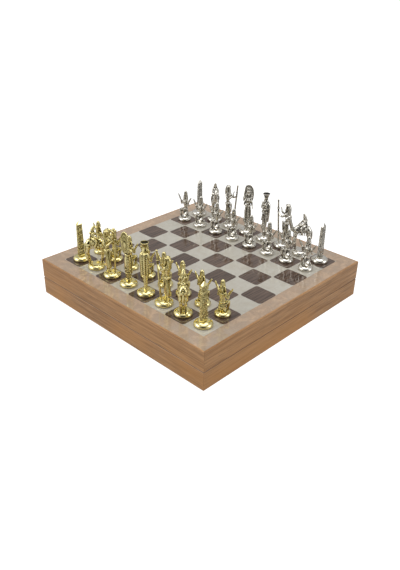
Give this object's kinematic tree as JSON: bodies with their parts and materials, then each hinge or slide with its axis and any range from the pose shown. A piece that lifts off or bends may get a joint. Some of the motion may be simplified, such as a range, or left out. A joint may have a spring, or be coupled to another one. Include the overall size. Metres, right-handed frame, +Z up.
{
  "type": "chess set with storage box",
  "caption": "Chess set with Egyptian-style cast metal figures on a board that is the lift-off lid of a lined wooden storage box.",
  "frame": {"origin": "middle of the underside of the box, on the table", "axes": "+Z up; the gold side is at -Y and the silver side at +Y, so the gold player looks along +Y with +X to the right"},
  "size_m": [0.28, 0.28, 0.1153],
  "materials": {
    "side_veneer": "straight-grained veneer with a satin lacquer",
    "panel_board": "plain fibreboard",
    "lip_wood": "plain sanded wood",
    "border_print": "beige burl print under a gloss film",
    "light_print": "pale grey-beige print under a gloss film",
    "dark_print": "dark grey-brown grained print under a gloss film",
    "velvet": "short-pile velvet over thin board",
    "gold_metal": "polished yellow metal",
    "silver_metal": "nickel plate, darkened in the hollows"
  },
  "bodies": {
    "base": {"base_front_rail": "side_veneer", "base_right_rail": "side_veneer", "base_back_rail": "side_veneer", "base_left_rail": "side_veneer", "base_floor": "panel_board", "front_lip": "lip_wood", "right_lip": "lip_wood", "back_lip": "lip_wood", "left_lip": "lip_wood", "insert_pad": "velvet", "cross_bars": "velvet", "gold_slot_walls": "velvet", "silver_slot_walls": "velvet"},
    "lid": {"lid_front_rail": "side_veneer", "lid_right_rail": "side_veneer", "lid_back_rail": "side_veneer", "lid_left_rail": "side_veneer", "lid_panel": "panel_board", "border_strips": "border_print", "light_field": "light_print", "dark_squares": "dark_print", "lid_lining": "velvet"},
    "gold_rook_1": {"gold_rook_1": "gold_metal"},
    "gold_knight_1": {"gold_knight_1": "gold_metal"},
    "gold_bishop_1": {"gold_bishop_1": "gold_metal"},
    "gold_king": {"gold_king": "gold_metal"},
    "gold_queen": {"gold_queen": "gold_metal"},
    "gold_bishop_2": {"gold_bishop_2": "gold_metal"},
    "gold_knight_2": {"gold_knight_2": "gold_metal"},
    "gold_rook_2": {"gold_rook_2": "gold_metal"},
    "silver_rook_1": {"silver_rook_1": "silver_metal"},
    "silver_knight_1": {"silver_knight_1": "silver_metal"},
    "silver_bishop_1": {"silver_bishop_1": "silver_metal"},
    "silver_king": {"silver_king": "silver_metal"},
    "silver_queen": {"silver_queen": "silver_metal"},
    "silver_bishop_2": {"silver_bishop_2": "silver_metal"},
    "silver_knight_2": {"silver_knight_2": "silver_metal"},
    "silver_rook_2": {"silver_rook_2": "silver_metal"},
    "gold_pawn_1": {"gold_pawn_1": "gold_metal"},
    "gold_pawn_2": {"gold_pawn_2": "gold_metal"},
    "gold_pawn_3": {"gold_pawn_3": "gold_metal"},
    "gold_pawn_4": {"gold_pawn_4": "gold_metal"},
    "gold_pawn_5": {"gold_pawn_5": "gold_metal"},
    "gold_pawn_6": {"gold_pawn_6": "gold_metal"},
    "gold_pawn_7": {"gold_pawn_7": "gold_metal"},
    "gold_pawn_8": {"gold_pawn_8": "gold_metal"},
    "silver_pawn_1": {"silver_pawn_1": "silver_metal"},
    "silver_pawn_2": {"silver_pawn_2": "silver_metal"},
    "silver_pawn_3": {"silver_pawn_3": "silver_metal"},
    "silver_pawn_4": {"silver_pawn_4": "silver_metal"},
    "silver_pawn_5": {"silver_pawn_5": "silver_metal"},
    "silver_pawn_6": {"silver_pawn_6": "silver_metal"},
    "silver_pawn_7": {"silver_pawn_7": "silver_metal"},
    "silver_pawn_8": {"silver_pawn_8": "silver_metal"}
  },
  "joints": [
    {"name": "lid_lift", "type": "slide", "parent": "base", "child": "lid", "axis": [0, 0, 1], "range_m": [0, 0.1]},
    {"name": "gold_rook_1_lift", "type": "slide", "parent": "lid", "child": "gold_rook_1", "axis": [0, 0, 1], "range_m": [0, 0.08]},
    {"name": "gold_knight_1_lift", "type": "slide", "parent": "lid", "child": "gold_knight_1", "axis": [0, 0, 1], "range_m": [0, 0.08]},
    {"name": "gold_bishop_1_lift", "type": "slide", "parent": "lid", "child": "gold_bishop_1", "axis": [0, 0, 1], "range_m": [0, 0.08]},
    {"name": "gold_king_lift", "type": "slide", "parent": "lid", "child": "gold_king", "axis": [0, 0, 1], "range_m": [0, 0.08]},
    {"name": "gold_queen_lift", "type": "slide", "parent": "lid", "child": "gold_queen", "axis": [0, 0, 1], "range_m": [0, 0.08]},
    {"name": "gold_bishop_2_lift", "type": "slide", "parent": "lid", "child": "gold_bishop_2", "axis": [0, 0, 1], "range_m": [0, 0.08]},
    {"name": "gold_knight_2_lift", "type": "slide", "parent": "lid", "child": "gold_knight_2", "axis": [0, 0, 1], "range_m": [0, 0.08]},
    {"name": "gold_rook_2_lift", "type": "slide", "parent": "lid", "child": "gold_rook_2", "axis": [0, 0, 1], "range_m": [0, 0.08]},
    {"name": "silver_rook_1_lift", "type": "slide", "parent": "lid", "child": "silver_rook_1", "axis": [0, 0, 1], "range_m": [0, 0.08]},
    {"name": "silver_knight_1_lift", "type": "slide", "parent": "lid", "child": "silver_knight_1", "axis": [0, 0, 1], "range_m": [0, 0.08]},
    {"name": "silver_bishop_1_lift", "type": "slide", "parent": "lid", "child": "silver_bishop_1", "axis": [0, 0, 1], "range_m": [0, 0.08]},
    {"name": "silver_king_lift", "type": "slide", "parent": "lid", "child": "silver_king", "axis": [0, 0, 1], "range_m": [0, 0.08]},
    {"name": "silver_queen_lift", "type": "slide", "parent": "lid", "child": "silver_queen", "axis": [0, 0, 1], "range_m": [0, 0.08]},
    {"name": "silver_bishop_2_lift", "type": "slide", "parent": "lid", "child": "silver_bishop_2", "axis": [0, 0, 1], "range_m": [0, 0.08]},
    {"name": "silver_knight_2_lift", "type": "slide", "parent": "lid", "child": "silver_knight_2", "axis": [0, 0, 1], "range_m": [0, 0.08]},
    {"name": "silver_rook_2_lift", "type": "slide", "parent": "lid", "child": "silver_rook_2", "axis": [0, 0, 1], "range_m": [0, 0.08]},
    {"name": "gold_pawn_1_lift", "type": "slide", "parent": "lid", "child": "gold_pawn_1", "axis": [0, 0, 1], "range_m": [0, 0.08]},
    {"name": "gold_pawn_2_lift", "type": "slide", "parent": "lid", "child": "gold_pawn_2", "axis": [0, 0, 1], "range_m": [0, 0.08]},
    {"name": "gold_pawn_3_lift", "type": "slide", "parent": "lid", "child": "gold_pawn_3", "axis": [0, 0, 1], "range_m": [0, 0.08]},
    {"name": "gold_pawn_4_lift", "type": "slide", "parent": "lid", "child": "gold_pawn_4", "axis": [0, 0, 1], "range_m": [0, 0.08]},
    {"name": "gold_pawn_5_lift", "type": "slide", "parent": "lid", "child": "gold_pawn_5", "axis": [0, 0, 1], "range_m": [0, 0.08]},
    {"name": "gold_pawn_6_lift", "type": "slide", "parent": "lid", "child": "gold_pawn_6", "axis": [0, 0, 1], "range_m": [0, 0.08]},
    {"name": "gold_pawn_7_lift", "type": "slide", "parent": "lid", "child": "gold_pawn_7", "axis": [0, 0, 1], "range_m": [0, 0.08]},
    {"name": "gold_pawn_8_lift", "type": "slide", "parent": "lid", "child": "gold_pawn_8", "axis": [0, 0, 1], "range_m": [0, 0.08]},
    {"name": "silver_pawn_1_lift", "type": "slide", "parent": "lid", "child": "silver_pawn_1", "axis": [0, 0, 1], "range_m": [0, 0.08]},
    {"name": "silver_pawn_2_lift", "type": "slide", "parent": "lid", "child": "silver_pawn_2", "axis": [0, 0, 1], "range_m": [0, 0.08]},
    {"name": "silver_pawn_3_lift", "type": "slide", "parent": "lid", "child": "silver_pawn_3", "axis": [0, 0, 1], "range_m": [0, 0.08]},
    {"name": "silver_pawn_4_lift", "type": "slide", "parent": "lid", "child": "silver_pawn_4", "axis": [0, 0, 1], "range_m": [0, 0.08]},
    {"name": "silver_pawn_5_lift", "type": "slide", "parent": "lid", "child": "silver_pawn_5", "axis": [0, 0, 1], "range_m": [0, 0.08]},
    {"name": "silver_pawn_6_lift", "type": "slide", "parent": "lid", "child": "silver_pawn_6", "axis": [0, 0, 1], "range_m": [0, 0.08]},
    {"name": "silver_pawn_7_lift", "type": "slide", "parent": "lid", "child": "silver_pawn_7", "axis": [0, 0, 1], "range_m": [0, 0.08]},
    {"name": "silver_pawn_8_lift", "type": "slide", "parent": "lid", "child": "silver_pawn_8", "axis": [0, 0, 1], "range_m": [0, 0.08]}
  ]
}
